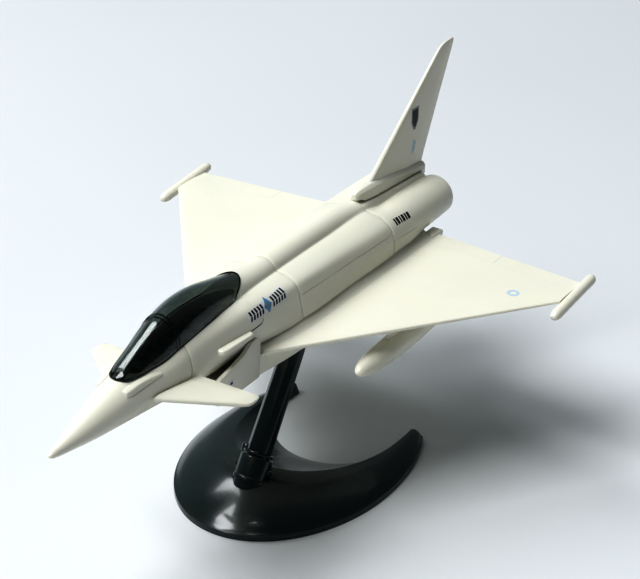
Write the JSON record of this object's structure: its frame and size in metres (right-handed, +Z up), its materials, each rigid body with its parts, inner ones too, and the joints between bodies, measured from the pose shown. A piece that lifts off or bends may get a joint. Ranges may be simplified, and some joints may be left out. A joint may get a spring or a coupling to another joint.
{
  "type": "display model jet aircraft",
  "caption": "Snap-together ivory plastic jet with a delta wing, foreplanes and a smoked canopy, on a black crescent stand with a leaning post.",
  "frame": {"origin": "centre of the whole model's bounding box in plan, on the desk surface the stand rests on", "axes": "+Z up from the desk, -Y towards the nose, +X towards the port wing tip; the aircraft sits 3.64 degrees nose-up"},
  "size_m": [0.1674, 0.2492, 0.1275],
  "materials": {
    "ivory_plastic": "moulded ivory, soft gloss",
    "smoked_canopy": "smoked green-black clear plastic, polished",
    "black_plastic": "black moulded plastic, satin gloss"
  },
  "bodies": {
    "base": {"stand_base": "black_plastic"},
    "post": {"stand_post": "black_plastic"},
    "airframe": {"nose_section": "ivory_plastic", "cockpit_section": "ivory_plastic", "middle_section": "ivory_plastic", "rear_section": "ivory_plastic", "belly_shell": "ivory_plastic", "intake_box": "ivory_plastic", "cockpit_deck": "black_plastic", "wing_box": "ivory_plastic", "nose_joint_peg": "ivory_plastic", "fore_joint_peg": "ivory_plastic", "rear_joint_peg": "ivory_plastic", "post_socket": "ivory_plastic", "tail_fin": "ivory_plastic", "wing_port": "ivory_plastic", "wing_starboard": "ivory_plastic", "wingtip_pod_port": "ivory_plastic", "wingtip_pod_starboard": "ivory_plastic", "side_strake_port": "ivory_plastic", "side_strake_starboard": "ivory_plastic", "drop_tank_port": "ivory_plastic", "drop_tank_starboard": "ivory_plastic", "tank_pylon_port": "ivory_plastic", "tank_pylon_starboard": "ivory_plastic", "exhaust_nozzle_port": "ivory_plastic", "exhaust_nozzle_starboard": "ivory_plastic"},
    "canopy": {"canopy": "smoked_canopy"},
    "canard_port": {"canard_port": "ivory_plastic"},
    "canard_starboard": {"canard_starboard": "ivory_plastic"}
  },
  "joints": [
    {"name": "post_unplug", "type": "slide", "parent": "base", "child": "post", "axis": [0, 0.5934, 0.8049], "range_m": [0, 0.012]},
    {"name": "model_lift_off", "type": "slide", "parent": "post", "child": "airframe", "axis": [0, 0.5934, 0.8049], "range_m": [0, 0.016]},
    {"name": "canopy_lift", "type": "slide", "parent": "airframe", "child": "canopy", "axis": [0, 0.0635, 0.998], "range_m": [0, 0.01]},
    {"name": "canard_port_pitch", "type": "hinge", "parent": "airframe", "child": "canard_port", "pos_m": [0.01, -0.07297, 0.08302], "axis": [1, 0, 0], "range_deg": [-20, 20]},
    {"name": "canard_starboard_pitch", "type": "hinge", "parent": "airframe", "child": "canard_starboard", "pos_m": [-0.01, -0.07297, 0.08302], "axis": [1, 0, 0], "range_deg": [-20, 20]}
  ]
}
